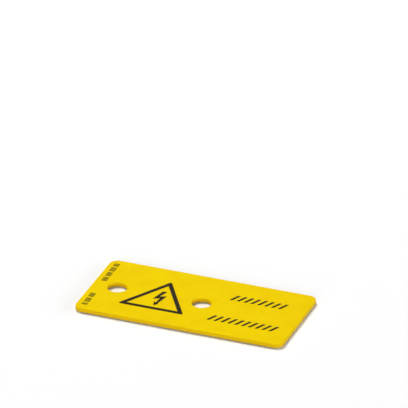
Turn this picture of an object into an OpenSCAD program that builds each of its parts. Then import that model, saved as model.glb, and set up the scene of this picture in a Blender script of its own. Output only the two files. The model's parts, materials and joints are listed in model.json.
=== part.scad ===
// Warning plate for a row of electrical terminals: one flat plastic plate with two holes to fasten
// it by. Its front is printed in black with a warning triangle that holds a lightning bolt, two rows
// of slanted bars, and two rows of fine ticks along the left end.
// The plate lies on its back. +X runs along its length, +Y across to its far long edge, and +Z up
// through the print. The origin is at the middle of the back.

/* [Plate] */
// Length of the plate, which spans five terminals
plate_l = 50; // [40:0.5:80]
// Width of the plate
plate_w = 25; // [19:0.5:40]
// Thickness of the plate
plate_t = 1; // [0.6:0.05:3]
// Radius of the plate's four corners, seen from above
corner_r = 2; // [0.5:0.1:4]
// Radius that rounds the plate's outer edge over into its two faces
edge_r = 0.2; // [0.05:0.01:0.25]

/* [Fixing holes] */
// Diameter of the two fixing holes
hole_d = 4.6; // [3:0.1:5.8]
// Distance between the centres of the two holes, which is two terminal widths
hole_pitch = 20.4; // [16:0.1:25]
// Distance from the plate's left end to the centre of the first hole
hole_inset = 6; // [5:0.1:8]
// Radius that rounds the rims of the holes over into the two faces
rim_r = 0.1; // [0.02:0.01:0.25]

/* [Warning triangle] */
// Side of the triangle, measured along the outside of its black band
triangle_side = 15.8; // [12:0.1:19]
// Width of the black band
band_w = 1; // [0.5:0.05:1.5]
// Radius that blunts the band's outer corners
band_corner_r = 0.3; // [0.05:0.05:0.6]
// Distance from half way between the holes to the middle of the triangle
triangle_shift = 0.4; // [0:0.1:1]

/* [Lightning bolt] */
// Gap between the bolt's point and the band below it
bolt_foot_gap = 0.8; // [0.4:0.1:1.5]
// Height of the clear space between the bolt's top and the corner of the band above it
bolt_head_gap = 2.9; // [2:0.1:4]

/* [Rows of bars] */
// Width of one slanted bar
bar_w = 0.65; // [0.3:0.05:1]
// Distance from one bar to the next
bar_pitch = 1.65; // [1.3:0.05:3]
// Height of the bars
bar_h = 2.5; // [1:0.1:4]
// Angle at which the bars lean over to the right
bar_lean = 25; // [0:1:45]
// Gap between the second hole's rim and the lower row
row_gap = 1.3; // [0.6:0.1:3]
// Gap between the lower row and the plate's right end
row_margin = 3.1; // [1.5:0.1:6]
// Distance by which the upper row is shorter at each end than the lower row
upper_row_indent = 1.6; // [0:0.1:3]
// Distance from the plate's mid-line up to the middle of the upper row
upper_row_y = 5; // [3:0.1:7]
// Distance from the plate's mid-line down to the middle of the lower row
lower_row_y = 5.7; // [3:0.1:7]

/* [Rows of ticks] */
// Width of one tick
tick_w = 0.25; // [0.1:0.05:0.35]
// Distance from one tick to the next
tick_pitch = 0.5; // [0.4:0.05:1]
// Length of the ticks
tick_l = 1.3; // [0.6:0.1:1.5]
// Number of ticks in a group, with one tick left out between groups
tick_group = 4; // [2:1:9]
// Distance from the plate's left end to the middle of the ticks
tick_inset = 1.95; // [1.2:0.05:2.1]
// Distance from the plate's mid-line to the start of the far row of ticks
far_ticks_start = 1.9; // [1:0.1:5]
// Distance from the plate's mid-line to the start of the near row of ticks
near_ticks_start = 4.6; // [1:0.1:6]
// Clear space between the rows of ticks and the plate's long edges
tick_margin = 1.8; // [1:0.1:2.5]

/* [Ink] */
// Thickness of the printed ink
ink_t = 0.04; // [0.02:0.01:0.1]

/* [Hidden] */
$fn = 64;

plate_colour = "#f5d20a";
ink_colour = "#2c1d12";

left_end = -plate_l / 2;
right_end = plate_l / 2;
first_hole_x = left_end + hole_inset;
second_hole_x = first_hole_x + hole_pitch;
cut_past = 1;

// The triangle stands with the middle of its height on the plate's mid-line, and its centroid lies a
// quarter of its circumscribed radius lower.
triangle_r = triangle_side / (2 * sin(60));
triangle_x = (first_hole_x + second_hole_x) / 2 + triangle_shift;
triangle_y = -triangle_r / 4;
opening_r = triangle_r - 2 * band_w;

bars_start = second_hole_x + hole_d / 2 + row_gap;
bars_end = right_end - row_margin;

// Lays a flat shape on the plate's front as a field of ink.
module printed() {
    color(ink_colour) translate([0, 0, plate_t]) linear_extrude(ink_t) children();
}

// Section of the plate's rim, from a corner's centre out to the edge, with both edges rounded over.
module rim_section() {
    square([corner_r - edge_r, plate_t]);
    translate([0, edge_r]) square([corner_r, plate_t - 2 * edge_r]);
    for (z = [edge_r, plate_t - edge_r]) translate([corner_r - edge_r, z]) circle(edge_r);
}

// The far right quarter of the plate: a corner, half of a long side, half of a short side and the
// flat inside them. The other three quarters are its mirror images.
module plate_quarter() {
    corner_x = plate_l / 2 - corner_r;
    corner_y = plate_w / 2 - corner_r;
    cube([corner_x, corner_y, plate_t]);
    translate([corner_x, corner_y, 0]) rotate_extrude(angle = 90) rim_section();
    translate([corner_x, corner_y, 0]) rotate([90, 0, 0]) linear_extrude(corner_y) rim_section();
    translate([0, corner_y, 0]) rotate([90, 0, 90]) linear_extrude(corner_x) rim_section();
}

// What a hole takes out of the plate: a straight bore that flares by rim_r where it meets each face.
module hole_cut() {
    bore_r = hole_d / 2;
    mouth_r = bore_r + rim_r;
    rotate_extrude() difference() {
        translate([0, -cut_past]) square([mouth_r, plate_t + 2 * cut_past]);
        translate([bore_r, rim_r]) square([mouth_r, plate_t - 2 * rim_r]);
        for (z = [rim_r, plate_t - rim_r]) translate([mouth_r, z]) circle(rim_r);
    }
}

module plate() {
    color(plate_colour) difference() {
        for (x_side = [0, 1], y_side = [0, 1])
            mirror([x_side, 0, 0]) mirror([0, y_side, 0]) plate_quarter();
        for (x = [first_hole_x, second_hole_x]) translate([x, 0, 0]) hole_cut();
    }
}

// An equilateral triangle about its centroid, point up, whose corners are arcs of radius blunt_r.
// Its straight sides lie on those of the sharp triangle of circumscribed radius sharp_r.
module blunt_triangle(sharp_r, blunt_r) {
    arc_r = sharp_r - 2 * blunt_r;
    corner_angles = [90, 210, 330];
    for (a = corner_angles) rotate(a) translate([arc_r, 0]) circle(blunt_r);
    polygon([for (a = corner_angles, side = [-60, 60])
        arc_r * [cos(a), sin(a)] + blunt_r * [cos(a + side), sin(a + side)]]);
}

module triangle_band() {
    printed() translate([triangle_x, triangle_y]) difference() {
        blunt_triangle(triangle_r, band_corner_r);
        rotate(90) circle(opening_r, $fn = 3);
    }
}

// The bolt fills the height of the band's opening, less the gaps at its foot and its head. Its
// outline is in percent of its height, from its point up its left side and down its right side.
module lightning_bolt() {
    foot_y = -opening_r / 2 + bolt_foot_gap;
    head_y = opening_r - bolt_head_gap;
    outline = [
        [0, 0], [-7, 27], [1, 20], [4, 53], [-17, 42], [-4, 100],
        [11, 100], [-2, 64], [20, 72], [9, 21], [11, 13]
    ];
    printed() translate([triangle_x, triangle_y + foot_y])
        polygon(outline * (head_y - foot_y) / 100);
}

// A row of slanted bars centred between the two ends given, with as many bars as fit.
module bar_row(start, end, y) {
    lean = bar_h * tan(bar_lean);
    last = floor((end - start - bar_w - lean) / bar_pitch);
    for (i = [0 : last]) translate([(start + end) / 2 + (i - last / 2) * bar_pitch, y])
        polygon([
            [-(lean + bar_w) / 2, -bar_h / 2],
            [-(lean - bar_w) / 2, -bar_h / 2],
            [(lean + bar_w) / 2, bar_h / 2],
            [(lean - bar_w) / 2, bar_h / 2]
        ]);
}

module upper_bars() {
    printed() bar_row(bars_start + upper_row_indent, bars_end - upper_row_indent, upper_row_y);
}

module lower_bars() {
    printed() bar_row(bars_start, bars_end, -lower_row_y);
}

// A row of ticks that runs along +Y from start to the margin at the plate's far edge, in groups.
module tick_row(start) {
    last = floor((plate_w / 2 - tick_margin - start - tick_w) / tick_pitch);
    for (i = [0 : last]) if (i % (tick_group + 1) != tick_group)
        translate([left_end + tick_inset - tick_l / 2, start + i * tick_pitch])
            square([tick_l, tick_w]);
}

module edge_ticks() {
    printed() {
        tick_row(far_ticks_start);
        mirror([0, 1]) tick_row(near_ticks_start);
    }
}

plate();
triangle_band();
lightning_bolt();
upper_bars();
lower_bars();
edge_ticks();
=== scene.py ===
# %% [markdown]
# A yellow warning plate with a black print
#
# The real object is one flat plastic plate, 50 mm long. It covers a row of electrical terminals, is
# held down through its two holes, and carries a printed warning triangle. This lesson dresses the
# imported CAD model. It loads the solids, models the plate and its print once more with the soft edges
# that plastic and ink have, gives both a procedural material, and sets up the floor, the light and
# the camera.
#
# The first cell loads the CAD model, whose nodes are never moved or changed.

# %% Load the imported model
import json
import math

import bmesh
import bpy
from mathutils import Matrix, Vector

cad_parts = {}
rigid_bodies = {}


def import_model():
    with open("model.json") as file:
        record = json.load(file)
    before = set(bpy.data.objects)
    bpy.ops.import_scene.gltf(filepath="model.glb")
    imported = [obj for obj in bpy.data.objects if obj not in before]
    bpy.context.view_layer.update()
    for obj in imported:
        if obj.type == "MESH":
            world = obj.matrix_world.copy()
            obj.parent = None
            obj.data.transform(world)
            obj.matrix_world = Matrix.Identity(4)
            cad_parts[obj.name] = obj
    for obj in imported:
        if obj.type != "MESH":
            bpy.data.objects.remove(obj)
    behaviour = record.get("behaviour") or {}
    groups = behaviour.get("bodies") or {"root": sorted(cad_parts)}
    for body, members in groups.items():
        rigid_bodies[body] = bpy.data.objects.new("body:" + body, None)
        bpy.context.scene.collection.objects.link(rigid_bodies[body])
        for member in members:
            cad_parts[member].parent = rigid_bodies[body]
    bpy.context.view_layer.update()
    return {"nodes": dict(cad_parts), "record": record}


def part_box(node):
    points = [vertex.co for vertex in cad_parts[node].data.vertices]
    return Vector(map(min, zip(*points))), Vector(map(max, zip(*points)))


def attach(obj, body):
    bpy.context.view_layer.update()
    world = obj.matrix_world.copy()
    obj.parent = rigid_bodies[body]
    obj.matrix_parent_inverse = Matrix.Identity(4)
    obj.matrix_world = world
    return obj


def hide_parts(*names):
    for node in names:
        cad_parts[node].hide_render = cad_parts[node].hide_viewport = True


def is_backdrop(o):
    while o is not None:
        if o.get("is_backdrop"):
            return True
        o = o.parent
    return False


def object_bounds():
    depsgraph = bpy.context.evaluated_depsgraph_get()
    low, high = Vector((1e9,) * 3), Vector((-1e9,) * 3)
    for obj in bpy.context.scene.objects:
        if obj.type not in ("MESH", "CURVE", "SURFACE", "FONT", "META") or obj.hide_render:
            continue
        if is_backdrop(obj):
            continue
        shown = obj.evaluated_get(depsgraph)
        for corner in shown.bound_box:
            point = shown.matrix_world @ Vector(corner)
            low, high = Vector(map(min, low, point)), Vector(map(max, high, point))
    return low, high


MM = 0.001

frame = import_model()
print("CAD nodes:", ", ".join(sorted(frame["nodes"])))

# %% [markdown]
# Helpers for modelling by hand
#
# Blender's modelling tools act on what is selected, as they do for a person at the screen. So each
# piece starts with nothing selected, one primitive is added, and in edit mode the edges to work on
# are picked by where they lie. A finished piece has its place in its mesh, and its object stays at
# the origin, unturned and unscaled.


# %% Start a piece
def start_clean():
    """Leaves edit mode and deselects everything."""
    if bpy.context.mode != "OBJECT":
        bpy.ops.object.mode_set(mode="OBJECT")
    bpy.ops.object.select_all(action="DESELECT")


def select(active, *others):
    """Selects these pieces alone. The first one is the active one."""
    start_clean()
    for piece in (active, *others):
        piece.select_set(True)
    bpy.context.view_layer.objects.active = active


def edit(piece):
    """Opens one piece in edit mode, with all of it selected."""
    select(piece)
    bpy.ops.object.mode_set(mode="EDIT")
    bpy.ops.mesh.select_mode(type="EDGE")
    bpy.ops.mesh.select_all(action="SELECT")


def apply_place(name):
    """Names the new primitive and moves its place from the object into the mesh."""
    piece = bpy.context.object
    piece.name = name
    piece.data.name = name
    bpy.ops.object.transform_apply(location=True, rotation=True, scale=True)
    return piece


def add_block(name, low, high):
    """A block that fills the box from its lowest corner to its highest one."""
    start_clean()
    bpy.ops.mesh.primitive_cube_add(size=1, location=(low + high) / 2)
    bpy.context.object.scale = high - low
    return apply_place(name)


# %% Pick edges or faces, and work on them
TOUCHING = 0.002 * MM


def near(a, b):
    return abs(a - b) < TOUCHING


def pick(wanted, faces=False):
    """Selects the edges, or the faces, that pass the test, and no others."""
    bpy.ops.mesh.select_all(action="DESELECT")
    mesh = bpy.context.object.data
    shape = bmesh.from_edit_mesh(mesh)
    shape.normal_update()
    for part in shape.faces if faces else shape.edges:
        part.select_set(wanted(part))
    bmesh.update_edit_mesh(mesh)


def lies_at(z):
    """The test for an edge or a face that lies flat at a height."""
    return lambda part: all(near(corner.co.z, z) for corner in part.verts)


def upright(edge):
    """The test for an edge that stands upright."""
    a, b = (end.co for end in edge.verts)
    return near(a.x, b.x) and near(a.y, b.y)


def round_picked(radius, steps):
    bpy.ops.mesh.bevel(offset=radius, segments=steps, clamp_overlap=False)


def extrude_picked(x=0.0, y=0.0, z=0.0):
    bpy.ops.mesh.extrude_region_move(TRANSFORM_OT_translate={"value": (x, y, z)})


def face_outwards():
    bpy.ops.mesh.select_all(action="SELECT")
    bpy.ops.mesh.normals_make_consistent(inside=False)


# %% [markdown]
# The plate
#
# The real plate is moulded from plastic of one colour right through. Its corners are rounded by
# 2 mm, and all its edges are soft: a radius of a fifth of a millimetre catches a thin line of light
# all the way round, and the rims of the two holes have a finer one. That line is what makes it look
# like plastic and not like card.
#
# It could be drawn as a flat curve with two holes and given depth, but then every edge would have the
# same radius. Holes cut with a Boolean leave long stray edges across the face, which spoil its
# shading. So the plate is put together from parts that each have clean rings of faces: a block for the
# outside, a short collar for each hole, and a flat skin above and below that joins them. Beside each
# rounded edge runs a narrow flat ring, which keeps the shading of the flat face flat.

# %% The outside: a block with rounded corners and edges
CORNER_R, CORNER_STEPS = 2 * MM, 16
EDGE_R, EDGE_STEPS = 0.2 * MM, 5
FLAT_RING = 0.2 * MM

plate_low, plate_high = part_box("plate")
back_and_front = (plate_low.z, plate_high.z)

plate = add_block("yellow_plate", plate_low, plate_high)
edit(plate)
pick(upright)
round_picked(CORNER_R, CORNER_STEPS)
for z in back_and_front:
    pick(lies_at(z))
    round_picked(EDGE_R, EDGE_STEPS)
for z in back_and_front:
    pick(lies_at(z), faces=True)
    bpy.ops.mesh.inset(thickness=FLAT_RING)
    bpy.ops.mesh.delete(type="FACE")
print("outside:", len(bmesh.from_edit_mesh(plate.data).faces), "faces")

# %% [markdown]
# The holes
#
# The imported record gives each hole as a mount, with its place and its radius. A collar is the wall of
# one hole with a flat ring round each end: a circle is extruded up through the plate, both ends are
# extruded outwards, and the two rims between wall and ring are rounded.

# %% The holes: a collar with rounded rims for each
RIM_R, RIM_STEPS = 0.1 * MM, 3
HOLE_STEPS = 96


def add_collar(centre, hole_r):
    """The wall of one hole, with a flat ring round each end."""
    ring_growth = (hole_r + RIM_R + FLAT_RING) / hole_r

    def on_rim(edge):
        flat = any(lies_at(z)(edge) for z in back_and_front)
        return flat and all(near((end.co.xy - centre.xy).length, hole_r) for end in edge.verts)

    start_clean()
    bpy.ops.mesh.primitive_circle_add(vertices=HOLE_STEPS, radius=hole_r, location=centre)
    collar = apply_place("collar")
    edit(collar)
    extrude_picked(z=plate_high.z - plate_low.z)
    for z in back_and_front:
        pick(lies_at(z))
        extrude_picked()
        bpy.ops.transform.resize(value=(ring_growth, ring_growth, 1), center_override=centre)
    pick(on_rim)
    round_picked(RIM_R, RIM_STEPS)
    return collar


holes = [mount for mount in frame["record"]["mounts"] if mount["kind"] == "bore"]
for hole in holes:
    x, y, _ = hole["pos_m"]
    hole_r = hole["dims"]["r_mm"] * MM
    collar = add_collar(Vector((x, y, plate_low.z)), hole_r)
    select(plate, collar)
    bpy.ops.object.join()
    print(hole["name"], "is", round(2 * hole_r / MM, 2), "mm wide")

# %% [markdown]
# The skins
#
# The outside and the collars now end in open flat rings, above and below. One fill for each level
# closes the face between them, and the whole is shaded smooth except over sharp edges.

# %% The skins: the flat faces that join them
SMOOTH_UP_TO = math.radians(40)

edit(plate)
for z in back_and_front:
    pick(lambda edge: edge.is_boundary and lies_at(z)(edge))
    bpy.ops.mesh.fill(use_beauty=True)
face_outwards()
select(plate)
bpy.ops.object.shade_smooth_by_angle(angle=SMOOTH_UP_TO)
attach(plate, "root")
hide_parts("plate")
print("plate:", len(plate.data.polygons), "faces")

# %% [markdown]
# The print
#
# The print is a film of black ink. Seen close, a film of ink has no sharp corners: it draws itself
# together as it dries, so its outline is slightly blunt and its edge slopes down to the plastic.
#
# A picture on the plate would be flat and would blur when seen close. So each field of ink is a thin
# piece of its own that stands 0.04 mm proud, with a rounded outline and a rounded shoulder. Its foot
# is sunk into the plate a little, so that no gap shows under it.

# %% The levels, shoulder and finish of a film of ink
INK_SINK = 0.02 * MM
SHOULDER_R, SHOULDER_STEPS = 0.015 * MM, 2
# A face's normal has a Z of 0 where the face stands upright, and of 1 where it lies flat.
STEEP_BELOW = 0.5


def film_levels(node):
    """Where a film of ink starts, inside the plate, and the level that it stands up to."""
    low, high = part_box(node)
    return low.z - INK_SINK, high.z


def round_shoulder(top):
    """Rounds the edge between the top of a film and its sides."""

    def on_shoulder(edge):
        beside_wall = any(abs(face.normal.z) < STEEP_BELOW for face in edge.link_faces)
        return beside_wall and lies_at(top)(edge)

    pick(on_shoulder)
    round_picked(SHOULDER_R, SHOULDER_STEPS)


def finish_print(piece, node):
    select(piece)
    bpy.ops.object.shade_smooth_by_angle(angle=SMOOTH_UP_TO)
    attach(piece, "root")
    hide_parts(node)
    print(piece.name + ":", len(piece.data.polygons), "faces")


# %% [markdown]
# The warning triangle
#
# The common warning triangle is an even-sided band with its point up. Three bars could be laid end
# to end, but they would overlap in the corners, and the film is one piece. So it starts as a circle
# with three sides, which is inset by the width of the band, opened in the middle and raised. Its
# outer corners are blunted, and its inner ones stay sharp.

# %% Triangle band
TRIANGLE_SIDE = 15.8 * MM
BAND_W = 1 * MM
BAND_CORNER_CUT, BAND_CORNER_STEPS = 0.6 * MM, 6

band_low, band_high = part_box("triangle_band")
foot, top = film_levels("triangle_band")
triangle_r = TRIANGLE_SIDE / math.sqrt(3)
middle = Vector(((band_low.x + band_high.x) / 2, band_low.y + triangle_r / 2, foot))


def at_outer_corner(edge):
    return upright(edge) and near((edge.verts[0].co.xy - middle.xy).length, triangle_r)


start_clean()
bpy.ops.mesh.primitive_circle_add(
    vertices=3, radius=triangle_r, fill_type="NGON", location=middle
)
band = apply_place("triangle_print")
edit(band)
bpy.ops.mesh.inset(thickness=BAND_W)
bpy.ops.mesh.delete(type="FACE")
bpy.ops.mesh.select_all(action="SELECT")
extrude_picked(z=top - foot)
face_outwards()
pick(at_outer_corner)
round_picked(BAND_CORNER_CUT, BAND_CORNER_STEPS)
round_shoulder(top)
finish_print(band, "triangle_band")

# %% [markdown]
# The lightning bolt
#
# The bolt is an arrow with a kink, whose outline has eleven corners. They are given in percent of its
# height, from its point up its left side and down its right side. No primitive comes near such a
# shape, so its outline is drawn as by hand: a tiny plane is merged into one point, the point is
# extruded from corner to corner, the loop is closed with a face, and the face is raised.

# %% Lightning bolt
BOLT_OUTLINE = [
    (0, 0), (-7, 27), (1, 20), (4, 53), (-17, 42), (-4, 100),
    (11, 100), (-2, 64), (20, 72), (9, 21), (11, 13),
]

bolt_low, bolt_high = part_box("lightning_bolt")
foot, top = film_levels("lightning_bolt")
percent = (bolt_high.y - bolt_low.y) / 100

start_clean()
bpy.ops.mesh.primitive_plane_add(size=MM, location=(middle.x, bolt_low.y, foot))
bolt = apply_place("bolt_print")
edit(bolt)
bpy.ops.mesh.select_mode(type="VERT")
bpy.ops.mesh.merge(type="CENTER")
bpy.ops.mesh.select_all(action="SELECT")
for (x, y), (next_x, next_y) in zip(BOLT_OUTLINE, BOLT_OUTLINE[1:]):
    extrude_picked(x=(next_x - x) * percent, y=(next_y - y) * percent)
bpy.ops.mesh.select_all(action="SELECT")
bpy.ops.mesh.edge_face_add()
bpy.ops.mesh.select_mode(type="EDGE")
extrude_picked(z=top - foot)
face_outwards()
round_shoulder(top)
finish_print(bolt, "lightning_bolt")

# %% [markdown]
# The rows of slanted bars
#
# Two rows of slanted bars fill the right half of the front. All bars are alike, so one is modelled: a
# block whose far side is pushed over to the right, with its outline blunted. An Array modifier could
# repeat it, but the gaps between the ticks further on are uneven. So one function serves both: it
# copies the first shape to each of its places and joins the copies into one piece.

# %% A row from one shape
BLUNT_STEPS = 3


def make_row(name, node, first, blunt_r, offsets):
    """Blunts and rounds the first shape, copies it to each offset, and joins the row."""
    _, top = film_levels(node)
    edit(first)
    pick(upright)
    round_picked(blunt_r, BLUNT_STEPS)
    round_shoulder(top)
    copies = []
    for offset in offsets:
        select(first)
        bpy.ops.object.duplicate(linked=False)
        bpy.context.object.location = offset
        bpy.ops.object.transform_apply(location=True, rotation=True, scale=True)
        copies.append(bpy.context.object)
    select(first, *copies)
    bpy.ops.object.join()
    first.name = name
    first.data.name = name
    finish_print(first, node)


# %% Two rows of bars
BAR_W = 0.65 * MM
BAR_PITCH = 1.65 * MM
BAR_LEAN = math.radians(25)
BAR_BLUNT_R = 0.08 * MM

for name, node in (("upper_bars_print", "upper_bars"), ("lower_bars_print", "lower_bars")):
    low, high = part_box(node)
    foot, top = film_levels(node)
    lean = (high.y - low.y) * math.tan(BAR_LEAN)
    count = round((high.x - low.x - BAR_W - lean) / BAR_PITCH) + 1
    start = Vector((low.x, low.y, foot))
    bar = add_block("bar", start, Vector((low.x + BAR_W, high.y, top)))
    edit(bar)
    pick(lambda edge: all(near(end.co.y, high.y) for end in edge.verts))
    bpy.ops.transform.translate(value=(lean, 0, 0))
    offsets = [Vector((i * BAR_PITCH, 0, 0)) for i in range(1, count)]
    make_row(name, node, bar, BAR_BLUNT_R, offsets)

# %% [markdown]
# The fine ticks
#
# Two rows of fine ticks run along the left end, in groups of four with one place left empty between
# them. One row runs from the middle of the plate towards its far edge and one towards its near edge.
# They are made as the bars are, from one small block.

# %% Ticks along the left end
TICK_W = 0.25 * MM
TICK_PITCH = 0.5 * MM
TICK_GROUP = 4
TICK_BLUNT_R = 0.04 * MM
FAR_START, FAR_PLACES = 1.9 * MM, 18
NEAR_START, NEAR_PLACES = 4.6 * MM, 12


def tick_steps(places):
    """How far each tick of a row lies from its first one."""
    return [i * TICK_PITCH for i in range(places) if i % (TICK_GROUP + 1) != TICK_GROUP]


far_row = [FAR_START + step for step in tick_steps(FAR_PLACES)]
near_row = [-NEAR_START - TICK_W - step for step in tick_steps(NEAR_PLACES)]
first_y, *other_ys = far_row + near_row

low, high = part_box("edge_ticks")
foot, top = film_levels("edge_ticks")
start = Vector((low.x, first_y, foot))
tick = add_block("tick", start, Vector((high.x, first_y + TICK_W, top)))
offsets = [Vector((0, y - first_y, 0)) for y in other_ys]
make_row("edge_ticks_print", "edge_ticks", tick, TICK_BLUNT_R, offsets)

# %% [markdown]
# Colours and nodes
#
# A colour picked from a screen is in sRGB, and Blender's shaders want linear light, so one function
# turns a hex value into the colour that a socket takes. Another small function adds a node, sets it
# and links what feeds it. Patterns read Object coordinates, which are in metres, so the scale of a
# pattern is one divided by its real size.


# %% Colour and node helpers
def linear(hex_colour):
    """An sRGB hex colour as the linear RGBA that a socket takes."""
    channels = [int(hex_colour[i : i + 2], 16) / 255 for i in (1, 3, 5)]
    return [c / 12.92 if c <= 0.04045 else ((c + 0.055) / 1.055) ** 2.4 for c in channels] + [1]


def add_node(tree, kind, inputs=None, **settings):
    """Adds a node with its settings. An input takes a value, or the socket that feeds it."""
    node = tree.nodes.new("ShaderNode" + kind)
    for name, value in settings.items():
        setattr(node, name, value)
    for name, value in (inputs or {}).items():
        if isinstance(value, bpy.types.NodeSocket):
            tree.links.new(value, node.inputs[name])
        else:
            node.inputs[name].default_value = value
    return node


def new_material(name):
    """A new material with its node tree, its shader, and the Object coordinates."""
    material = bpy.data.materials.new(name)
    material.use_nodes = True
    tree = material.node_tree
    place = add_node(tree, "TexCoord").outputs["Object"]
    return material, tree, tree.nodes["Principled BSDF"], place


def dress(piece, material):
    piece.data.materials.clear()
    piece.data.materials.append(material)


WHITE = linear("#ffffff")
# A Mix node keeps its colours in inputs 6 and 7, and gives the mixed one in output 2.
MIX_COLOURS = {"data_type": "RGBA"}

# %% [markdown]
# Moulded yellow plastic
#
# The plate is rigid PVC, yellow right through and moulded with a fine matt grain. From that the eye
# gets a full yellow with a soft sheen and no mirror image. The thin upright walls look warmer, close
# to amber, because light that leaves them has gone a longer way through the plastic. That glow is
# painted light: the walls are given a brighter amber colour that stands in for it.
#
# A single yellow would look like paint on card. So the tone wanders between two yellows in soft
# clouds of 5 mm, as pigment is never mixed quite evenly. Where a face stands upright it turns to the
# painted amber glow. The angle of the face decides that, and not the angle of view, so it stays put as
# one walks round.

# %% Tone of the plastic, and the painted glow of its walls
CLOUD = 5 * MM
PLASTIC_DETAIL = 3.0
# A noise seldom leaves this range, which is stretched to the whole way between the two yellows.
CLOUD_LOW, CLOUD_HIGH = 0.35, 0.65
YELLOW_A = "#f4cf00"
YELLOW_B = "#f7d600"
# Painted light: the colour of the upright walls, brighter and warmer than the faces, stands in for
# light glowing out of the thin plastic.
WALL_GLOW_AMBER = "#ffcf00"

plastic, tree, shader, place = new_material("moulded_yellow_pvc")
cloud = add_node(tree, "TexNoise", {"Vector": place, "Scale": 1 / CLOUD, "Detail": PLASTIC_DETAIL})
clouds = add_node(
    tree, "MapRange", {"Value": cloud.outputs[0], "From Min": CLOUD_LOW, "From Max": CLOUD_HIGH}
)
face_tone = add_node(
    tree, "Mix", {0: clouds.outputs[0], 6: linear(YELLOW_A), 7: linear(YELLOW_B)}, **MIX_COLOURS
)
# Painted glow: where a face stands upright, the amber takes the place of the yellow.
facing = add_node(tree, "NewGeometry").outputs["Normal"]
facing_up = add_node(tree, "SeparateXYZ", {"Vector": facing}).outputs["Z"]
flatness = add_node(tree, "Math", {0: facing_up}, operation="ABSOLUTE")
tone = add_node(
    tree, "Mix", {0: flatness.outputs[0], 6: linear(WALL_GLOW_AMBER), 7: face_tone.outputs[2]}, **MIX_COLOURS
)
tree.links.new(tone.outputs[2], shader.inputs["Base Color"])
print("plastic:", YELLOW_A, "to", YELLOW_B, "on the faces,", WALL_GLOW_AMBER, "on the walls")

# %% [markdown]
# The grain comes from the mould, which was blasted or etched. It scatters the light, so the plastic
# is rough, a little more so in some spots than in others, and it gives a slight bump. The real
# grain is about 0.05 mm wide. That is too fine to show, so it is drawn at 0.4 mm and kept low.

# %% Grain of the plastic
GRAIN = 0.4 * MM
GRAIN_H = 0.05 * MM
GRAIN_HARSHNESS = 0.6
PLASTIC_ROUGH = (0.58, 0.72)
PLASTIC_IOR = 1.53
PLASTIC_SPECULAR = 0.1

grain = add_node(
    tree,
    "TexNoise",
    {"Vector": place, "Scale": 1 / GRAIN, "Detail": PLASTIC_DETAIL, "Roughness": GRAIN_HARSHNESS},
)
spread = add_node(
    tree,
    "MapRange",
    {"Value": grain.outputs[0], "To Min": PLASTIC_ROUGH[0], "To Max": PLASTIC_ROUGH[1]},
)
bump = add_node(tree, "Bump", {"Height": grain.outputs[0], "Distance": GRAIN_H, "Strength": 1.0})
tree.links.new(spread.outputs[0], shader.inputs["Roughness"])
tree.links.new(bump.outputs[0], shader.inputs["Normal"])
shader.inputs["IOR"].default_value = PLASTIC_IOR
shader.inputs["Specular IOR Level"].default_value = PLASTIC_SPECULAR
dress(plate, plastic)
print("dressed:", plate.name, "with", len(tree.nodes), "nodes")

# %% [markdown]
# Printed ink
#
# The print is solvent ink, pressed on by a soft pad. It dries matt and slightly brown, and it lies
# unevenly: thicker in some patches, and thin on its sloping shoulder, where the yellow shines
# through and warms it. So its tone wanders between two near-blacks in patches of 1.5 mm, and it
# turns to brown over the height of the shoulder.

# %% Tone of the ink
PATCH = 1.5 * MM
INK_DETAIL = 2.0
INK_A = "#1a1203"
INK_B = "#2a1f08"
INK_THIN = "#54400a"

ink, tree, shader, place = new_material("printed_black_ink")
patch = add_node(tree, "TexNoise", {"Vector": place, "Scale": 1 / PATCH, "Detail": INK_DETAIL})
full_film = add_node(
    tree, "Mix", {0: patch.outputs[0], 6: linear(INK_A), 7: linear(INK_B)}, **MIX_COLOURS
)
height = add_node(tree, "SeparateXYZ", {"Vector": place}).outputs["Z"]
_, film_top = film_levels("edge_ticks")
thickness = add_node(
    tree, "MapRange", {"Value": height, "From Min": plate_high.z, "From Max": film_top}
)
tone = add_node(
    tree,
    "Mix",
    {0: thickness.outputs[0], 6: linear(INK_THIN), 7: full_film.outputs[2]},
    **MIX_COLOURS,
)
tree.links.new(tone.outputs[2], shader.inputs["Base Color"])
print("ink:", INK_A, "to", INK_B, "where it is full,", INK_THIN, "where it is thin")

# %% [markdown]
# The skin of the ink has the faint ripple of a film that dried in the air. The real ripple is near
# 0.1 mm wide, and it is drawn at 0.25 mm so that it shows. All the films of ink share the material.

# %% Skin of the ink
RIPPLE = 0.25 * MM
RIPPLE_H = 0.03 * MM
INK_ROUGH = (0.55, 0.7)
INK_IOR = 1.5
INK_SPECULAR = 0.1

ripple = add_node(tree, "TexNoise", {"Vector": place, "Scale": 1 / RIPPLE, "Detail": INK_DETAIL})
spread = add_node(
    tree,
    "MapRange",
    {"Value": ripple.outputs[0], "To Min": INK_ROUGH[0], "To Max": INK_ROUGH[1]},
)
bump = add_node(tree, "Bump", {"Height": ripple.outputs[0], "Distance": RIPPLE_H, "Strength": 1.0})
tree.links.new(spread.outputs[0], shader.inputs["Roughness"])
tree.links.new(bump.outputs[0], shader.inputs["Normal"])
shader.inputs["IOR"].default_value = INK_IOR
shader.inputs["Specular IOR Level"].default_value = INK_SPECULAR
prints = [piece for piece in bpy.data.objects if piece.name.endswith("_print")]
for piece in prints:
    dress(piece, ink)
print("inked:", ", ".join(piece.name for piece in prints))

# %% [markdown]
# The floor
#
# The plate lies on a wide sheet of matt white card. The card is pure white to the camera, in
# reflections and through anything clear, and it still takes the plate's shadow. To the rays that
# carry light from it to the plate it is grey, so that it doesn't flood the walls. A faint glow, which
# shows in the same three ways alone, lifts the open card to pure white. A moulded plate is never
# perfectly flat: a thin gap stays under it, which shows as a fine dark line.

# %% White floor
FLOOR_SIZE = 6
FLOOR_GAP = 0.15 * MM
FLOOR_GREY = "#b4b4b4"
FLOOR_GLOW = 0.04


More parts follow.
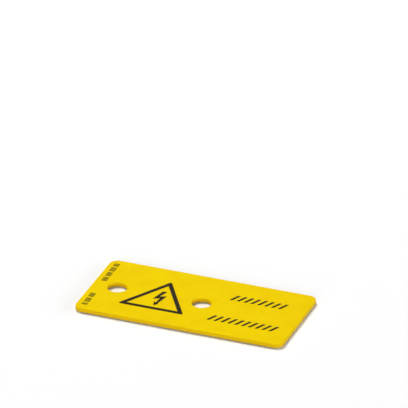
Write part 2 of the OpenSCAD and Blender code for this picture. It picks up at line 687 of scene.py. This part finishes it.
def seen_white(tree):
    """One where a ray comes from the camera, a reflection or a clear body, else zero."""
    path = add_node(tree, "LightPath")
    seen = path.outputs["Is Camera Ray"]
    for other in ("Is Glossy Ray", "Is Transmission Ray"):
        both = add_node(tree, "Math", {0: seen, 1: path.outputs[other]}, operation="MAXIMUM")
        seen = both.outputs[0]
    return seen


start_clean()
bpy.ops.mesh.primitive_plane_add(size=FLOOR_SIZE, location=(0, 0, plate_low.z - FLOOR_GAP))
floor = apply_place("white_floor")
card, tree, shader, _ = new_material("matt_white_card")
seen = seen_white(tree)
tone = add_node(tree, "Mix", {0: seen, 6: linear(FLOOR_GREY), 7: WHITE}, **MIX_COLOURS)
glow = add_node(tree, "Math", {0: seen, 1: FLOOR_GLOW}, operation="MULTIPLY")
tree.links.new(tone.outputs[2], shader.inputs["Base Color"])
tree.links.new(glow.outputs[0], shader.inputs["Emission Strength"])
shader.inputs["Emission Color"].default_value = WHITE
shader.inputs["Roughness"].default_value = 1
shader.inputs["Specular IOR Level"].default_value = 0
dress(floor, card)
floor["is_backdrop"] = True
print("floor:", FLOOR_SIZE, "m wide,", round(FLOOR_GAP / MM, 2), "mm under the plate")

# %% [markdown]
# The light
#
# The shadow is short and lies in front of the plate and to its right, so the main light stands
# behind it on the left. The front walls are almost as bright as the top, so two weaker lights stand
# low in front and low on the right. All three are softboxes, discs 1.75 m wide that stand 3 m away,
# because wide light gives the soft edge of the shadow. Their powers add up to a plain level, at which
# a colour renders about as it is written.
#
# The main light is kept out of reflections, as a polarising filter on the lens would do, so that it
# lays no pale veil over the yellow.

# %% Softboxes
# Each light has its bearing from +X towards +Y and its height over the floor, both in degrees, and
# its power in watts.
KEY = (140, 55, 84)
FRONT = (272, 13, 53)
SIDE = (15, 10, 55)
DISC = 1.75
AWAY = 3


def softbox(name, bearing, height, power):
    """A disc of light that faces the plate."""
    turn, rise = math.radians(bearing), math.radians(height)
    level = math.cos(rise)
    towards = Vector((math.cos(turn) * level, math.sin(turn) * level, math.sin(rise)))
    start_clean()
    bpy.ops.object.light_add(type="AREA", location=towards * AWAY)
    lamp = bpy.context.object
    lamp.name = name
    lamp.rotation_euler = towards.to_track_quat("Z", "Y").to_euler()
    lamp.data.shape = "DISK"
    lamp.data.size = DISC
    lamp.data.energy = power
    print(name + ":", bearing, "degrees round,", height, "degrees up,", power, "W")
    return lamp


key = softbox("key_light", *KEY)
key.visible_glossy = False
softbox("front_light", *FRONT)
softbox("side_light", *SIDE)

# %% [markdown]
# The world is white to the camera, in reflections and through anything clear, as a white studio is.
# It gives the plate only a little light of its own.

# %% White world
WORLD = 0.02

scene = bpy.context.scene
scene.world = bpy.data.worlds.new("white_studio")
scene.world.use_nodes = True
tree = scene.world.node_tree
sky = tree.nodes["Background"]
strength = add_node(tree, "Math", {0: seen_white(tree), 1: WORLD}, operation="MAXIMUM")
tree.links.new(strength.outputs[0], sky.inputs["Strength"])
sky.inputs["Color"].default_value = WHITE
print("world strength on the plate:", WORLD)

# %% [markdown]
# The camera
#
# The plate is seen from in front, 20 degrees round to its right, and from 27 degrees above. Its far
# edge is hardly shorter than its near one, so the camera stands far away and looks through a long
# lens. It turns a touch about its own axis, and it looks past the plate, which lies low in the frame.
# The numbers come from the perspective of the plate's outline and its two holes.

# %% Camera
FRAME_PX = 408
FOCAL_PX = 8000
SENSOR_MM = 36
CLIP_NEAR, CLIP_FAR = 0.1, 20
DISTANCE = 1.81015
AZIMUTH, ELEVATION, ROLL = (math.radians(angle) for angle in (20.218, 27.374, 0.656))
# In the fit, the plate's origin lay on this pixel, and its front lay at this height.
PLATE_PX = (195.747, 304.919)
FITTED_Z = 0.7715 * MM

steep = math.cos(ELEVATION)
back = Vector((math.sin(AZIMUTH) * steep, -math.cos(AZIMUTH) * steep, math.sin(ELEVATION)))
level = Vector((math.cos(AZIMUTH), math.sin(AZIMUTH), 0))
upward = back.cross(level)
right = math.cos(ROLL) * level + math.sin(ROLL) * upward
up = math.cos(ROLL) * upward - math.sin(ROLL) * level

px = DISTANCE / FOCAL_PX
spot = back * DISTANCE
spot -= right * (PLATE_PX[0] - FRAME_PX / 2) * px
spot += up * (PLATE_PX[1] - FRAME_PX / 2) * px
spot.z += plate_high.z - FITTED_Z

camera = bpy.data.objects.new("camera", bpy.data.cameras.new("camera"))
scene.collection.objects.link(camera)
camera.matrix_world = Matrix.Translation(spot) @ Matrix((right, up, back)).transposed().to_4x4()
camera.data.sensor_width = SENSOR_MM
camera.data.lens = SENSOR_MM * FOCAL_PX / FRAME_PX
camera.data.clip_start = CLIP_NEAR
camera.data.clip_end = CLIP_FAR
scene.camera = camera
scene.view_settings.view_transform = "Standard"
print("camera:", round(DISTANCE, 2), "m away, lens", round(camera.data.lens), "mm")

# %% [markdown]
#
# The dressed model has to keep the size of the CAD model. The last cell prints the size of the dressed
# model's box.

# %% The size of the dressed box
low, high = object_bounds()
print("dressed box in mm:", [round(size / MM, 3) for size in high - low])
